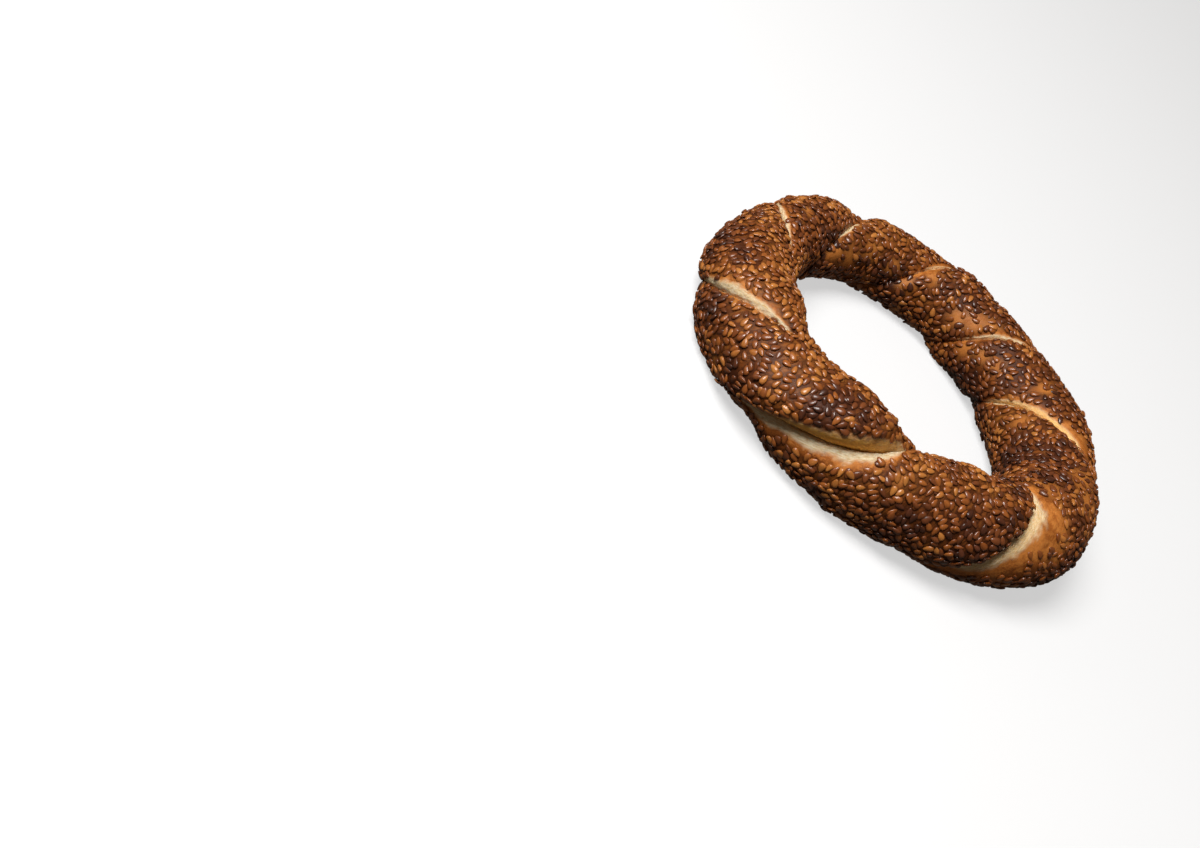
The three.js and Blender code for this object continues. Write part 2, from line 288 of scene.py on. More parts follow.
def torn_shares(degrees, angle, wander):
    """How pale, tan, bare of seeds and golden the crust is, from 0 to 1, and the fibres'
    coordinates: along the nearest seam and away from it."""
    shares = {name: np.zeros_like(degrees) for name in ("pale", "tan", "bare", "golden")}
    nearest = np.full_like(degrees, 1e9)
    fibres = np.zeros((*degrees.shape, 3))
    for strand, side, distance, foot in seams_near(degrees, angle):
        pale_width = torn_size(strand, foot, "pale", side) * wander
        bare_width = torn_size(strand, foot, "bare", side) * wander
        golden_width = torn_size(strand, foot, "golden", side) * wander
        pale = edge_share(distance, pale_width, 0.4)
        fade = np.clip((distance - pale_width) / (golden_width - pale_width + 0.3), 0, 1)
        golden = (1 - fade) * np.clip((golden_width - 0.3) / 0.6, 0, 1)
        shares["pale"] = np.maximum(shares["pale"], pale)
        shares["bare"] = np.maximum(shares["bare"], edge_share(distance, bare_width, 0.15))
        shares["golden"] = np.maximum(shares["golden"], golden)
        shares["tan"] = np.maximum(shares["tan"], pale * torn_size(strand, foot, "tan", side))
        closer = distance < nearest
        nearest = np.where(closer, distance, nearest)
        along = np.radians(foot) * ROPE_RADIUS
        apart = np.full_like(distance, STRAND_SHIFT * strand)
        place = np.stack([along, distance, apart], axis=-1)
        fibres = np.where(closer[..., None], place, fibres)
    return shares, fibres


# Noise


def dough_noise(name, points, shape):
    """One of the NOISES, about 0, at points of the dough."""
    size, octaves, offset = NOISES[name]
    scaled = points / size + offset
    values = np.array([noise.fractal(point, 1.0, 2.0, octaves) for point in scaled])
    return values.reshape(shape)


# The dough


def strand_shares():
    """Where the mesh's columns lie across a strand, from 0 at one seam to 1 at the next."""
    even = np.arange(STRAND_COLUMNS) / STRAND_COLUMNS
    return even - SEAM_CROWDING * np.sin(2 * np.pi * even)


def dough_places():
    """The mesh's angles round the ring and round the section, one row for each section."""
    degrees = np.arange(SECTIONS) * 360.0 / SECTIONS
    first, _ = SEAM_CURVES[0](degrees)
    second, _ = SEAM_CURVES[1](degrees)
    width = np.mod(second - first, 360)
    shares = strand_shares()
    near = first[:, None] + width[:, None] * shares
    far = first[:, None] + width[:, None] + (360 - width)[:, None] * shares
    angles = np.concatenate([near, far], axis=1)
    return np.broadcast_to(degrees[:, None], angles.shape).copy(), angles


def rope_points(degrees, angle, radius):
    """Points at a radius from the rope's middle line."""
    out = outward_at(degrees)
    turn = np.radians(angle)
    points = rope_middle(degrees) + out * (radius * np.cos(turn))[..., None]
    points[..., 2] += radius * np.sin(turn)
    return points


def grid_normals(points):
    """Normals of a grid of points that closes on itself both ways."""
    along = np.roll(points, -1, 0) - np.roll(points, 1, 0)
    across = np.roll(points, -1, 1) - np.roll(points, 1, 1)
    normal = np.cross(along, across)
    return normal / np.linalg.norm(normal, axis=-1, keepdims=True)


def dough_shape():
    """The dough's points, normals and colour shares, as rows round the ring."""
    degrees, angle = dough_places()
    smooth = rope_points(degrees, angle, surface_radius(degrees, angle))
    flat = smooth.reshape(-1, 3)
    shape = degrees.shape
    wander = 1 + BAND_WANDER * dough_noise("wander", flat, shape)
    wander += BAND_RAGGED * dough_noise("ragged", flat, shape)
    shares, fibres = torn_shares(degrees, angle, wander)
    wrinkles = dough_noise("wrinkles", flat, shape) * (1 - shares["pale"])
    crumbs = dough_noise("crumbs", flat, shape) * shares["pale"]
    relief = LUMP_HEIGHT * dough_noise("lumps", flat, shape)
    relief += WRINKLE_HEIGHT * wrinkles + CRUMB_HEIGHT * crumbs
    points = smooth + grid_normals(smooth) * relief[..., None]
    points[..., 2] = np.maximum(points[..., 2], DOUGH_REST)
    return dict(degrees=degrees, angle=angle, points=points, normals=grid_normals(smooth),
                fibres=fibres, **shares)


def new_mesh(name, points, faces, attributes, material):
    """A smooth-shaded piece from points in millimetres, with values at its points."""
    mesh = bpy.data.meshes.new(name)
    mesh.vertices.add(len(points))
    mesh.vertices.foreach_set("co", (np.asarray(points) * MM).ravel())
    sides = faces.shape[1]
    mesh.loops.add(faces.size)
    mesh.loops.foreach_set("vertex_index", faces.ravel())
    mesh.polygons.add(len(faces))
    mesh.polygons.foreach_set("loop_start", np.arange(len(faces)) * sides)
    mesh.polygons.foreach_set("use_smooth", np.full(len(faces), True))
    mesh.update(calc_edges=True)
    for label, values in attributes.items():
        values = np.asarray(values, dtype=np.float32)
        vectors = values.shape[-1] == 3 and values.size == 3 * len(mesh.vertices)
        layer = mesh.attributes.new(label, "FLOAT_VECTOR" if vectors else "FLOAT", "POINT")
        layer.data.foreach_set("vector" if vectors else "value", values.ravel())
    mesh.materials.append(material)
    piece = bpy.data.objects.new(name, mesh)
    bpy.context.scene.collection.objects.link(piece)
    return piece


def grid_faces(rows, columns):
    """Four-sided faces of a grid that closes on itself both ways."""
    row, column = np.meshgrid(np.arange(rows), np.arange(columns), indexing="ij")
    next_row = (row + 1) % rows
    next_column = (column + 1) % columns
    corners = [row * columns + column, next_row * columns + column,
               next_row * columns + next_column, row * columns + next_column]
    return np.stack([corner.ravel() for corner in corners], axis=1)


# Where the crust is toasted darkest and where it has few seeds: an angle round the ring, one
# round the section, and a radius in millimetres
TOASTED = (
    (322, 41, 14), (280, 50, 6), (270, 25, 7), (273, 62, 8), (207, 32, 15), (166, 140, 12),
    (14, 134, 7), (353, 6, 12), (230, -5, 10), (67, 205, 14), (300, 10, 10), (246, 0, 7),
    (190, 118, 9), (266, 72, 7), (16, 170, 8), (125, 170, 8), (216, 56, 9), (264, 46, 8),
    (358, 122, 4.5),
)
SPARSE = (
    (111, 124, 4), (86, 137, 6), (92, 150, 5), (81, 122, 5), (80, 169, 5), (72, 158, 4),
    (65, 152, 3.5), (49, 111, 4), (142.5, 137, 5.5), (177, 88, 3), (129, 146, 4), (120, 160, 4),
    (162, 148, 6), (137, 201, 7), (153, 161, 7), (9, 88, 6), (4, 70, 6), (350, 45, 3),
    (29, 86, 5), (36, 156, 4), (290, 49, 3), (353, 105, 6), (347, 74, 6),
)
THIN_COAT = 0.4  # noise above which the coat of seeds is thin elsewhere too


def spots(places, degrees, angle):
    """A share from 0 to 1 that is high near any of the places."""
    points = rope_points(degrees, angle, rope_radius(degrees))
    share = np.zeros_like(degrees)
    for ring_angle, section_angle, radius in places:
        here = np.array([float(ring_angle)])
        centre = rope_points(here, np.array([float(section_angle)]), rope_radius(here))[0]
        distance = np.linalg.norm(points - centre, axis=-1)
        share = np.maximum(share, np.exp(-(distance / radius) ** 2))
    return share


# Materials


def node_material(name):
    material = bpy.data.materials.new(name)
    material.use_nodes = True
    tree = material.node_tree
    return material, tree, tree.nodes["Principled BSDF"]


def add_noise(tree, scale, detail, offset=(0.0, 0.0, 0.0)):
    """Noise in the object's own coordinates, in lumps for each metre."""
    coordinates = tree.nodes.new("ShaderNodeTexCoord")
    mapping = tree.nodes.new("ShaderNodeMapping")
    mapping.inputs["Location"].default_value = offset
    texture = tree.nodes.new("ShaderNodeTexNoise")
    texture.inputs["Scale"].default_value = scale
    texture.inputs["Detail"].default_value = detail
    tree.links.new(coordinates.outputs["Object"], mapping.inputs["Vector"])
    tree.links.new(mapping.outputs["Vector"], texture.inputs["Vector"])
    return texture.outputs["Fac"]


def add_attribute(tree, name):
    """A value that is stored at the mesh's points."""
    node = tree.nodes.new("ShaderNodeAttribute")
    node.attribute_name = name
    return node.outputs["Fac"]


def add_range(tree, value, low, high, to_low=0.0, to_high=1.0):
    """A value spread from one range to another, and held within it."""
    node = tree.nodes.new("ShaderNodeMapRange")
    node.inputs["From Min"].default_value = low
    node.inputs["From Max"].default_value = high
    node.inputs["To Min"].default_value = to_low
    node.inputs["To Max"].default_value = to_high
    tree.links.new(value, node.inputs["Value"])
    return node.outputs["Result"]


def add_math(tree, operation, *values):
    node = tree.nodes.new("ShaderNodeMath")
    node.operation = operation
    for k, value in enumerate(values):
        if isinstance(value, (int, float)):
            node.inputs[k].default_value = value
        else:
            tree.links.new(value, node.inputs[k])
    return node.outputs["Value"]


def add_mix(tree, share, first, second):
    node = tree.nodes.new("ShaderNodeMix")
    node.data_type = "RGBA"
    sockets = {"share": node.inputs[0], "first": node.inputs[6], "second": node.inputs[7]}
    for key, value in (("share", share), ("first", first), ("second", second)):
        if isinstance(value, (int, float)):
            sockets[key].default_value = value
        elif isinstance(value, tuple):
            sockets[key].default_value = (*value, 1.0)
        else:
            tree.links.new(value, sockets[key])
    return node.outputs[2]


def add_bump(tree, height, distance, strength):
    node = tree.nodes.new("ShaderNodeBump")
    node.inputs["Distance"].default_value = distance
    node.inputs["Strength"].default_value = strength
    tree.links.new(height, node.inputs["Height"])
    return node.outputs["Normal"]


# The dough's colours: the crust from its least to its most toasted and shaded, the painted
# shade among the seeds, crust that has no seeds, and torn crumb
CRUST_GOLD = (0.38, 0.130, 0.020)
CRUST_BROWN = (0.19, 0.051, 0.008)
CRUST_DARK = (0.05, 0.013, 0.004)
SEED_SHADE_DARK = (0.05, 0.012, 0.003)
BARE_GOLD = (0.54, 0.190, 0.038)
BARE_BROWN = (0.30, 0.083, 0.012)
CRUMB = (0.76, 0.66, 0.47)
CRUMB_SHADE = (0.55, 0.37, 0.17)
CRUMB_TAN = (0.96, 0.49, 0.085)


def dough_material():
    """Browned crust that is golden beside the torn seams, and pale crumb in them."""
    material, tree, shader = node_material("simit_crust")
    links = tree.links
    toast_and_shade = add_attribute(tree, "toast_and_shade")
    pale = add_attribute(tree, "pale")
    golden = add_attribute(tree, "golden")
    painted_seed_shade = add_attribute(tree, "painted_seed_shade")
    blotches = add_noise(tree, 90.0, 4.0)
    mottle = add_noise(tree, 420.0, 3.0, (3.0, 1.0, 2.0))
    fine = add_noise(tree, 1800.0, 3.0, (1.0, 5.0, 2.0))
    fibres = add_fibres(tree)

    # Crust under the seeds, toasted, with painted shade low on the outer wall and towards the far
    # side, and painted shade among the seeds
    toasted_and_shaded = add_range(tree, toast_and_shade, 0.0, 1.0, -0.25, 0.7)
    brown = add_math(tree, "ADD", add_range(tree, blotches, 0.35, 0.68), toasted_and_shaded)
    brown = add_math(tree, "ADD", brown, add_range(tree, mottle, 0.3, 0.7, -0.2, 0.2))
    crust = add_mix(tree, add_range(tree, brown, 0.0, 0.8), CRUST_GOLD, CRUST_BROWN)
    crust = add_mix(tree, add_range(tree, brown, 0.9, 1.5), crust, CRUST_DARK)
    seed_shade = add_math(tree, "MULTIPLY", painted_seed_shade, add_range(tree, golden, 0.0, 0.6, 1.0, 0.35))
    seed_shade = add_math(tree, "MULTIPLY", seed_shade, add_range(tree, toast_and_shade, 0.1, 0.8, 0.8, 0.97))
    crust = add_mix(tree, seed_shade, crust, SEED_SHADE_DARK)

    # Bare crust, in the thin patches of the coat and beside the torn seams
    patch = add_range(tree, add_attribute(tree, "sparse"), 0.2, 1.0, 0.0, 0.8)
    crust = add_mix(tree, patch, crust, BARE_GOLD)
    streaked = add_math(tree, "ADD", golden, add_range(tree, fibres, 0.3, 0.7, -0.2, 0.2))
    streaked = add_math(tree, "ADD", streaked, add_range(tree, mottle, 0.35, 0.65, -0.3, 0.15))
    streaked = add_math(tree, "ADD", streaked, add_range(tree, blotches, 0.42, 0.62, 0.15, -0.3))
    streaked = add_math(tree, "ADD", streaked, add_range(tree, fine, 0.35, 0.65, -0.18, 0.12))
    bright = add_range(tree, add_math(tree, "SUBTRACT", 1.0, painted_seed_shade), 0.0, 1.0, 0.35, 1.0)
    tawny = add_math(tree, "MULTIPLY", add_range(tree, streaked, 0.0, 0.45), bright)
    crust = add_mix(tree, tawny, crust, BARE_BROWN)
    crust = add_mix(tree, add_range(tree, streaked, 0.35, 0.95), crust, BARE_GOLD)

    # Torn crumb
    crumb = add_mix(tree, add_range(tree, fibres, 0.40, 0.68), CRUMB, CRUMB_SHADE)
    crumb = add_mix(tree, add_attribute(tree, "tan"), crumb, CRUMB_TAN)
    links.new(add_mix(tree, pale, crust, crumb), shader.inputs["Base Color"])

    rough = add_range(tree, fine, 0.3, 0.7, 0.42, 0.6)
    rough = add_math(tree, "ADD", rough, add_range(tree, pale, 0.0, 1.0, 0.0, 0.4))
    links.new(rough, shader.inputs["Roughness"])
    shader.inputs["Specular IOR Level"].default_value = 0.2
    shader.inputs["Subsurface Weight"].default_value = 0.06
    shader.inputs["Subsurface Radius"].default_value = (1.0, 0.5, 0.25)
    shader.inputs["Subsurface Scale"].default_value = 0.0015
    height = add_math(tree, "MULTIPLY", mottle, 0.6)
    height = add_math(tree, "ADD", height, add_math(tree, "MULTIPLY", fine, 0.4))
    height = add_math(tree, "ADD", height, add_math(tree, "MULTIPLY", fibres, pale))
    links.new(add_bump(tree, height, 0.0006, 0.6), shader.inputs["Normal"])
    return material


def add_fibres(tree):
    """Streaks that run along the torn bands, a little aslant."""
    place = tree.nodes.new("ShaderNodeAttribute")
    place.attribute_name = "fibres"
    mapping = tree.nodes.new("ShaderNodeMapping")
    mapping.inputs["Scale"].default_value = (0.8, 2.0, 1.0)
    mapping.inputs["Rotation"].default_value = (0.0, 0.0, 0.35)
    texture = tree.nodes.new("ShaderNodeTexNoise")
    texture.inputs["Scale"].default_value = 1.0
    texture.inputs["Detail"].default_value = 4.0
    texture.inputs["Roughness"].default_value = 0.6
    tree.links.new(place.outputs["Vector"], mapping.inputs["Vector"])
    tree.links.new(mapping.outputs["Vector"], texture.inputs["Vector"])
    return texture.outputs["Fac"]


def seed_material(name, colour, dark):
    """Glossy and mottled, with painted shade darkening a seed towards its rim and ends, and with
    one seed a little lighter or darker than the next."""
    material, tree, shader = node_material(name)
    links = tree.links
    tone = add_attribute(tree, "tone")
    rim_shade = add_attribute(tree, "rim_shade")
    mottle = add_noise(tree, 900.0, 2.0)
    shade = add_math(tree, "ADD", tone, add_range(tree, mottle, 0.3, 0.7, -0.25, 0.25))
    # Painted shade towards each seed's rim and ends
    shade = add_math(tree, "ADD", shade, add_math(tree, "MULTIPLY", rim_shade, 0.55))
    toasted_and_shaded = add_mix(tree, add_range(tree, shade, 0.0, 1.2), colour, dark)
    links.new(toasted_and_shaded, shader.inputs["Base Color"])
    links.new(add_range(tree, mottle, 0.3, 0.7, 0.26, 0.4), shader.inputs["Roughness"])
    shader.inputs["Specular IOR Level"].default_value = 0.4
    shader.inputs["Coat Weight"].default_value = 0.35
    shader.inputs["Coat Roughness"].default_value = 0.15
    links.new(add_bump(tree, mottle, 0.0002, 0.4), shader.inputs["Normal"])
    return material


# The seeds

SEED_LENGTH = 3.5
SEED_WIDTH = 2.15
SEED_THICKNESS = 0.9
SEED_TAPER = 0.36
SEED_FLATNESS = 0.5  # power of the section's height, which makes its sides steep
SEED_RINGS = 6
SEED_SIDES = 8
SEED_SINK = 0.22
TRAY_GAP = 0.02  # half the thickness of the seeds that are pressed flat under the ring
SIZE_SPREAD = 0.08
SIZE_LIMITS = (0.8, 1.18)
WIDTH_SPREAD = 0.08
THICKNESS_SPREAD = 0.12
LIFT_SPREAD = 0.1
PITCH_SPREAD = 6  # degrees by which the seeds' ends stand up, and their sides
ROLL_SPREAD = 11

SEED_TRIES = 150000
HEADING_TRIES = 4
SEED_MARKS = (-0.3, 0.0, 0.3)  # places along a seed, by which its distance from others is kept
SEED_CLOSENESS = 1.42  # the least distance from one seed's marks to another's
BARE_SHARE = 0.995  # tries that fail on bare crust
GOLDEN_THINNING = 2  # powers of ten by which fewer tries hold on golden crust
SPARSE_THINNING = 1.4
UNDERSIDE_HEIGHT = 1.5  # below this the tray has rubbed seeds off
UNDERSIDE_SHARE = 0.35
LOOSE_SHARE = 0.06  # seeds that lie on others
LOOSE_HEIGHT = 4  # no seed lies on another below this
LOOSE_LIFT = 0.5
LOOSE_OFFSET = 0.45  # in seed widths, to the side of the seed underneath
LOOSE_TURN = (30, 150)
SEED_SHADE_REACH = 1.8  # distance from a seed's middle line at which the painted shade around it ends

# The kinds of seed from the least toasted: name, colour, darker colour and share of the seeds
SEED_KINDS = (
    ("seeds_golden", (0.51, 0.194, 0.041), (0.31, 0.094, 0.018), 0.26),
    ("seeds_brown", (0.33, 0.100, 0.019), (0.19, 0.050, 0.010), 0.40),
    ("seeds_umber", (0.21, 0.059, 0.015), (0.11, 0.030, 0.009), 0.26),
    ("seeds_dark", (0.11, 0.031, 0.012), (0.045, 0.013, 0.006), 0.08),
)


def seed_form():
    """One seed along X as unit points and faces: round at -X and pointed at +X."""
    points = [(-1.0, 0.0, 0.0)]
    for ring in range(1, SEED_RINGS):
        along = -math.cos(math.pi * ring / SEED_RINGS)
        point = 0.8 + 0.4 * ring / SEED_RINGS
        girth = math.sin(math.pi * ring / SEED_RINGS) ** point * (1 - SEED_TAPER * along)
        for side in range(SEED_SIDES):
            turn = 2 * math.pi * side / SEED_SIDES
            height = math.copysign(abs(math.sin(turn)) ** SEED_FLATNESS, math.sin(turn))
            points.append((along, girth * math.cos(turn), girth * height))
    points.append((1.0, 0.0, 0.0))
    faces = []
    last = len(points) - 1
    for side in range(SEED_SIDES):
        beside = (side + 1) % SEED_SIDES
        faces.append((0, 1 + side, 1 + beside))
        faces.append((last, last - SEED_SIDES + beside, last - SEED_SIDES + side))
        for ring in range(SEED_RINGS - 2):
            low = 1 + ring * SEED_SIDES
            high = low + SEED_SIDES
            faces.append((low + side, high + side, high + beside))
            faces.append((low + side, high + beside, low + beside))
    return np.array(points), np.array(faces)


def candidate_places(dough, random):
    """Points drawn evenly over the dough, with the normal and shares of colour there."""
    points = dough["points"]
    rows, columns = points.shape[:2]
    edge_a = np.roll(points, -1, 0) - points
    edge_b = np.roll(points, -1, 1) - points
    area = np.linalg.norm(np.cross(edge_a, edge_b), axis=-1).ravel()
    picked = np.searchsorted(np.cumsum(area) / area.sum(), random.random(SEED_TRIES))
    row, column = np.divmod(picked, columns)
    s = random.random(SEED_TRIES)[:, None]
    t = random.random(SEED_TRIES)[:, None]
    next_row = (row + 1) % rows
    next_column = (column + 1) % columns
    place = (points[row, column] * (1 - s) * (1 - t) + points[next_row, column] * s * (1 - t)
             + points[next_row, next_column] * s * t + points[row, next_column] * (1 - s) * t)
    names = ("bare", "golden", "toast_and_shade", "sparse", "normals")
    return place, {name: dough[name][row, column] for name in names}


def seed_headings(normal, random):
    """Directions in the surface, a few for each place to try in turn."""
    helper = np.where(np.abs(normal[:, 2:3]) < 0.9, [[0.0, 0.0, 1.0]], [[1.0, 0.0, 0.0]])
    side = np.cross(helper, normal)
    side /= np.linalg.norm(side, axis=1, keepdims=True)
    other = np.cross(normal, side)
    turn = random.random(len(normal)) * 2 * math.pi
    turns = turn[:, None] + np.arange(HEADING_TRIES) * math.pi / HEADING_TRIES
    return side[:, None] * np.cos(turns)[..., None] + other[:, None] * np.sin(turns)[..., None]


def seed_layout(dough, random):
    """Lays the seeds one at a time where they clear those already laid."""
    place, picks = candidate_places(dough, random)
    headings = seed_headings(picks["normals"], random)
    size = random.normal(1.0, SIZE_SPREAD, len(place)).clip(*SIZE_LIMITS)
    thinning = GOLDEN_THINNING * picks["golden"] + SPARSE_THINNING * picks["sparse"]
    chance = (1 - BARE_SHARE * picks["bare"]) * 10 ** -thinning
    chance = np.where(place[:, 2] < UNDERSIDE_HEIGHT, chance * UNDERSIDE_SHARE, chance)
    wanted = random.random(len(place)) < chance
    along_marks = np.array(SEED_MARKS) * SEED_LENGTH
    marks = np.zeros((len(place), len(SEED_MARKS), 3))
    heading = np.zeros((len(place), 3))
    cells = {}
    kept = []
    for k in np.flatnonzero(wanted):
        home = tuple((place[k] // SEED_LENGTH).astype(int))
        close = [n for dx in (-1, 0, 1) for dy in (-1, 0, 1) for dz in (-1, 0, 1)
                 for n in cells.get((home[0] + dx, home[1] + dy, home[2] + dz), ())]
        others = marks[close].reshape(-1, 3)
        least = (SEED_CLOSENESS * size[k]) ** 2
        if close and ((others - place[k]) ** 2).sum(-1).min() < least:
            continue
        for direction in headings[k]:
            mine = place[k] + direction * (along_marks * size[k])[:, None]
            if close:
                gaps = ((others[:, None] - mine[None]) ** 2).sum(-1)
                if gaps.min() < least:
                    continue
            marks[k] = mine
            heading[k] = direction
            cells.setdefault(home, []).append(k)
            kept.append(k)
            break
    kept = np.array(kept)
    layout = dict(place=place[kept], normal=picks["normals"][kept], along=heading[kept],
                  size=size[kept], marks=marks[kept], toast_and_shade=picks["toast_and_shade"][kept],
                  lift=np.zeros(len(kept)))
    return with_loose_seeds(layout, random)


def with_loose_seeds(layout, random):
    """Adds the seeds that lie on others, turned across them."""
    count = len(layout["size"])
    chosen = random.permutation(count)[:int(LOOSE_SHARE * count)]
    chosen = chosen[layout["place"][chosen, 2] > LOOSE_HEIGHT]
    normal = layout["normal"][chosen]
    across = np.cross(normal, layout["along"][chosen])
    loose = {name: layout[name][chosen] for name in ("normal", "size", "marks", "toast_and_shade")}
    loose["place"] = layout["place"][chosen] + across * SEED_WIDTH * LOOSE_OFFSET
    turn = random.uniform(*LOOSE_TURN, len(chosen))
    loose["along"] = turned(layout["along"][chosen], normal, turn)
    loose["lift"] = np.full(len(chosen), LOOSE_LIFT)
    return {name: np.concatenate([layout[name], loose[name]]) for name in layout}


def turned(vectors, axes, degrees):
    """Vectors turned about unit axes, one each."""
    angle = np.radians(degrees)[:, None]
    dot = (vectors * axes).sum(1, keepdims=True)
    kept = axes * dot * (1 - np.cos(angle))
    return vectors * np.cos(angle) + np.cross(axes, vectors) * np.sin(angle) + kept


def seed_piece(name, layout, chosen, random, material):
    """The chosen seeds as one mesh, each a little uneven in size and not quite level."""
    form, faces = seed_form()
    count = len(chosen)
    normal = layout["normal"][chosen]
    along = layout["along"][chosen]
    across = np.cross(normal, along)
    along = turned(along, across, random.normal(0, PITCH_SPREAD, count))
    normal = np.cross(along, across)
    roll = random.normal(0, ROLL_SPREAD, count)
    across = turned(across, along, roll)
    normal = turned(normal, along, roll)
    size = layout["size"][chosen]
    length = SEED_LENGTH * size / 2
    width = SEED_WIDTH * size * random.normal(1, WIDTH_SPREAD, count) / 2
    thickness = SEED_THICKNESS * size * random.normal(1, THICKNESS_SPREAD, count) / 2
    lift = SEED_THICKNESS * size / 2 - SEED_SINK + LIFT_SPREAD * random.normal(0, 1, count)
    lift = lift + layout["lift"][chosen]
    centre = layout["place"][chosen] + normal * lift[:, None]
    points = (centre[:, None]
              + along[:, None] * (form[:, 0] * length[:, None])[..., None]
              + across[:, None] * (form[:, 1] * width[:, None])[..., None]
              + normal[:, None] * (form[:, 2] * thickness[:, None])[..., None])
    pressed_flat = TRAY_GAP * form[:, 2] + TRAY_GAP
    points[..., 2] = np.maximum(points[..., 2], pressed_flat)
    tone = np.repeat(random.random(count), len(form))
    # Painted shade: 1 at a seed's rim and ends, 0 along the middle of its top
    rim_shade = np.tile(np.hypot(form[:, 0] ** 2, form[:, 1]).clip(0, 1) ** 3, count)
    every = (faces[None] + (np.arange(count) * len(form))[:, None, None]).reshape(-1, 3)
    return new_mesh(name, points.reshape(-1, 3), every, {"tone": tone, "rim_shade": rim_shade}, material)


def build_seeds(layout, random):
    """Sorts the seeds by how dark they are, half by chance and half by the crust's toasting and
    painted shade, and builds each kind."""
    count = len(layout["size"])
    darkness = random.random(count) + layout["toast_and_shade"]
    order = np.argsort(np.argsort(darkness)) / count
    shares = [kind[-1] for kind in SEED_KINDS]
    bounds = np.cumsum([0.0, *shares])
    pieces = []
    for k, (name, colour, dark, _) in enumerate(SEED_KINDS):
        chosen = np.flatnonzero((order >= bounds[k]) & (order < bounds[k + 1]))
        material = seed_material(name, colour, dark)
        pieces.append(seed_piece(name, layout, chosen, random, material))
    return pieces


def seed_shade_share(points, layout):
    """How close each point of the dough is to a seed, from 0 to 1, which paints shade on the
    crust among the seeds."""
    marks = layout["marks"].reshape(-1, 3)
    tree = KDTree(len(marks))
    for k, mark in enumerate(marks):
        tree.insert(mark, k)
    tree.balance()
    distance = np.array([tree.find(point)[2] for point in points])
    return np.clip((SEED_SHADE_REACH - distance) / (SEED_SHADE_REACH - SEED_WIDTH / 2), 0, 1)


def build_dough(random):
    """The dough's shape, the seeds' layout on it, and the dough's piece."""
    dough = dough_shape()
    degrees = dough["degrees"]
    angle = dough["angle"]
    flat = dough["points"].reshape(-1, 3)
    outer_side = np.clip(np.cos(np.radians(angle)) * 2, 0, 1)
    # Painted shade low on the outer wall and towards the ring's far side darkens the crust and its
    # seeds on top of their toasting
    painted_low_shade = np.clip(-np.sin(np.radians(angle - LOW_SIDE)), 0, 1) * outer_side
    toasted_and_shaded = TOAST_AND_SHADE["everywhere"] + TOAST_AND_SHADE["painted_far_shade"] * np.cos(np.radians(degrees - FAR_SIDE))
    toasted_and_shaded += TOAST_AND_SHADE["patchy"] * dough_noise("patchy", flat, degrees.shape)
    toasted_and_shaded += TOAST_AND_SHADE["painted_low_shade"] * painted_low_shade
    toasted_and_shaded += TOAST_AND_SHADE["places"] * spots(TOASTED, degrees, angle)
    dough["toast_and_shade"] = np.clip(toasted_and_shaded, 0, 1)
    thin = np.clip(dough_noise("thin", flat, degrees.shape) - THIN_COAT, 0, 1)
    dough["sparse"] = np.clip(spots(SPARSE, degrees, angle) + thin, 0, 1)
    layout = seed_layout(dough, random)
    names = ("toast_and_shade", "sparse", "pale", "golden", "tan")
    attributes = {name: dough[name].reshape(-1) for name in names}
    # Painted shade among the seeds: the crust darkens close to each seed
    attributes["painted_seed_shade"] = seed_shade_share(flat, layout)
    attributes["fibres"] = dough["fibres"].reshape(-1, 3)
    rows, columns = degrees.shape
    piece = new_mesh("simit_dough", flat, grid_faces(rows, columns), attributes, dough_material())
    return dough, layout, piece


def centre_shift(points):
    """The level move that puts the middle of the ring's box over the origin."""
    low = points.reshape(-1, 3).min(0)
    high = points.reshape(-1, 3).max(0)
    middle = (low + high) / 2
    return Vector((-middle[0] * MM, -middle[1] * MM, 0.0))


# Floor, light and camera

FLOOR_HALF = 30.0
FLOOR_CORNERS = ((-1, -1), (1, -1), (1, 1), (-1, 1))
FLOOR_COLOUR = (0.40, 0.405, 0.415, 1.0)
FLOOR_GLOW = 0.57
AMBIENT_COLOUR = (1.0, 0.87, 0.72, 1.0)
AMBIENT_STRENGTH = 0.085
BACKDROP_COLOUR = (0.612, 0.61, 0.607, 1.0)

# The lamps: direction from the ring, distance and diameter in metres, power and colour
KEY = ((-0.40, -0.43, 0.81), 1.1, 0.6, 15.5, (1.0, 0.98, 0.95))
SIDE = ((-0.85, -0.30, 0.30), 1.5, 0.9, 2.0, (1.0, 0.97, 0.92))
FILL = ((0.75, 0.40, 0.35), 2.0, 1.6, 3.0, (1.0, 0.96, 0.90))


def build_floor():
    """A plain pale floor. It throws no light back up at the ring, so the ring's sides are
    shaded as deeply as in the photograph."""
    mesh = bpy.data.meshes.new("floor")
    corners = [(x * FLOOR_HALF, y * FLOOR_HALF, 0) for x, y in FLOOR_CORNERS]
    mesh.from_pydata(corners, [], [(0, 1, 2, 3)])
    material, _, shader = node_material("floor_white")
    shader.inputs["Base Color"].default_value = FLOOR_COLOUR
    shader.inputs["Roughness"].default_value = 0.9
    shader.inputs["Specular IOR Level"].default_value = 0.1
    shader.inputs["Emission Color"].default_value = (1.0, 1.0, 1.0, 1.0)
    shader.inputs["Emission Strength"].default_value = FLOOR_GLOW
    mesh.materials.append(material)
    floor = bpy.data.objects.new("floor", mesh)
    floor.visible_diffuse = False
    floor.visible_glossy = False
    bpy.context.scene.collection.objects.link(floor)


def area_light(name, direction, distance, size, power, colour):
    """A round soft lamp that faces the ring."""
    data = bpy.data.lights.new(name, "AREA")
    data.shape = "DISK"
    data.size = size
    data.energy = power
    data.color = colour
    light = bpy.data.objects.new(name, data)
    away = Vector(direction).normalized()
    light.location = away * distance
    light.rotation_mode = "QUATERNION"
    light.rotation_quaternion = (-away).to_track_quat("-Z", "Y")
    bpy.context.scene.collection.objects.link(light)
    return light


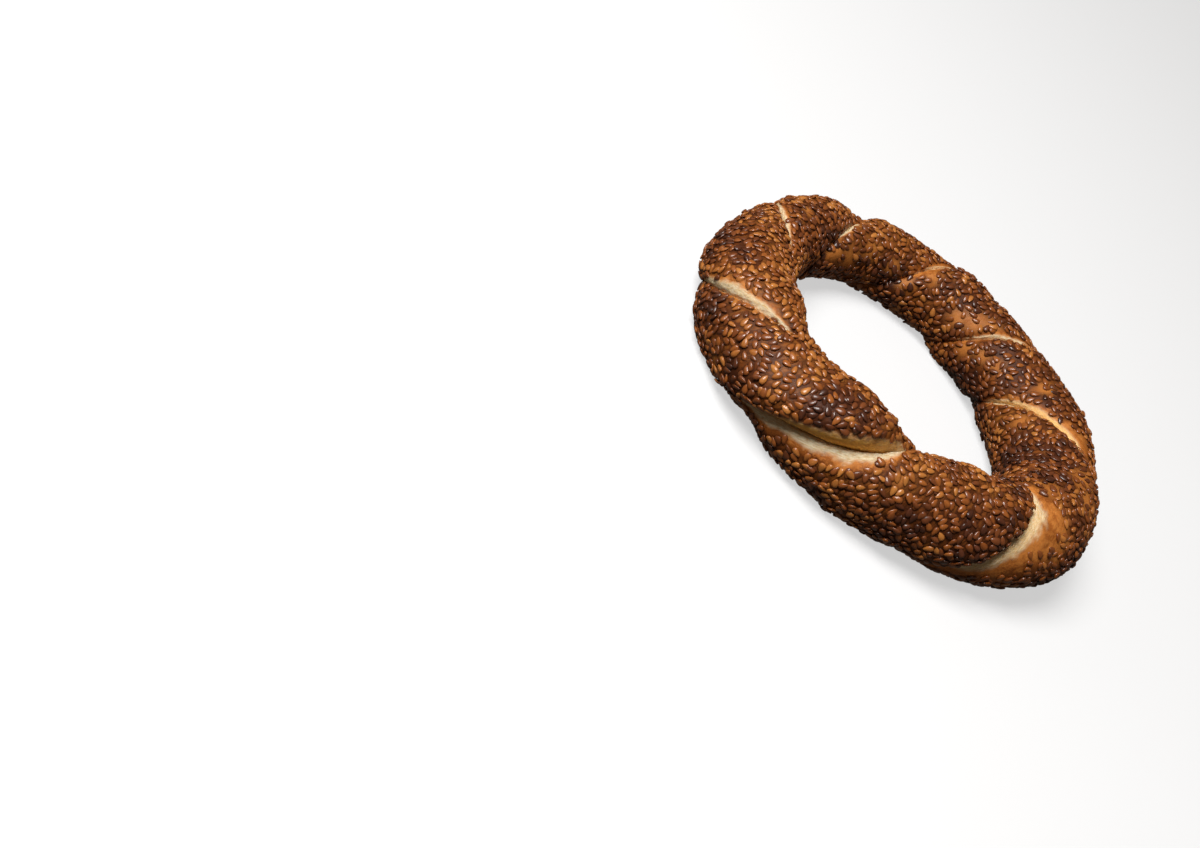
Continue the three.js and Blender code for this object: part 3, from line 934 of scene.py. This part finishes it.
def build_light():
    """A dim warm world, which the camera sees as pale as the far floor, a soft key light high
    on the front left, a weak light low on the left, and a weak fill low behind on the right,
    which makes no highlights. The camera stands in front, on the -Y side."""
    world = bpy.data.worlds.new("studio")
    world.use_nodes = True
    tree = world.node_tree
    dim = tree.nodes["Background"]
    dim.inputs["Color"].default_value = AMBIENT_COLOUR
    dim.inputs["Strength"].default_value = AMBIENT_STRENGTH
    backdrop = tree.nodes.new("ShaderNodeBackground")
    backdrop.inputs["Color"].default_value = BACKDROP_COLOUR
    seen = tree.nodes.new("ShaderNodeLightPath")
    choice = tree.nodes.new("ShaderNodeMixShader")
    tree.links.new(seen.outputs["Is Camera Ray"], choice.inputs[0])
    tree.links.new(dim.outputs["Background"], choice.inputs[1])
    tree.links.new(backdrop.outputs["Background"], choice.inputs[2])
    tree.links.new(choice.outputs["Shader"], tree.nodes["World Output"].inputs["Surface"])
    bpy.context.scene.world = world
    area_light("key", *KEY)
    area_light("side", *SIDE)
    fill = area_light("fill", *FILL)
    fill.visible_glossy = False


def build_camera(shift):
    """The photograph's camera, moved by as much as the ring."""
    data = bpy.data.cameras.new("camera")
    data.sensor_width = SENSOR_WIDTH
    data.lens = LENS_PIXELS / PHOTO_WIDTH * SENSOR_WIDTH
    data.clip_start = 0.01
    data.clip_end = 50.0
    camera = bpy.data.objects.new("camera", data)
    camera.rotation_mode = "QUATERNION"
    camera.rotation_quaternion = Matrix(CAMERA_AXES).to_quaternion()
    camera.location = Vector(CAMERA_PLACE) * MM + shift
    bpy.context.scene.collection.objects.link(camera)
    bpy.context.scene.camera = camera


def move_mesh(piece, shift):
    piece.data.transform(Matrix.Translation(shift))


def main():
    """Builds the pieces, with the ring's middle moved over the origin."""
    random = np.random.default_rng(RANDOM_SEED)
    dough, layout, crust = build_dough(random)
    seeds = build_seeds(layout, random)
    shift = centre_shift(dough["points"])
    for piece in (crust, *seeds):
        move_mesh(piece, shift)
        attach(piece, "root")
    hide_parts("simit")
    build_floor()
    build_light()
    build_camera(shift)
    bpy.context.scene.view_settings.view_transform = "Standard"


main()
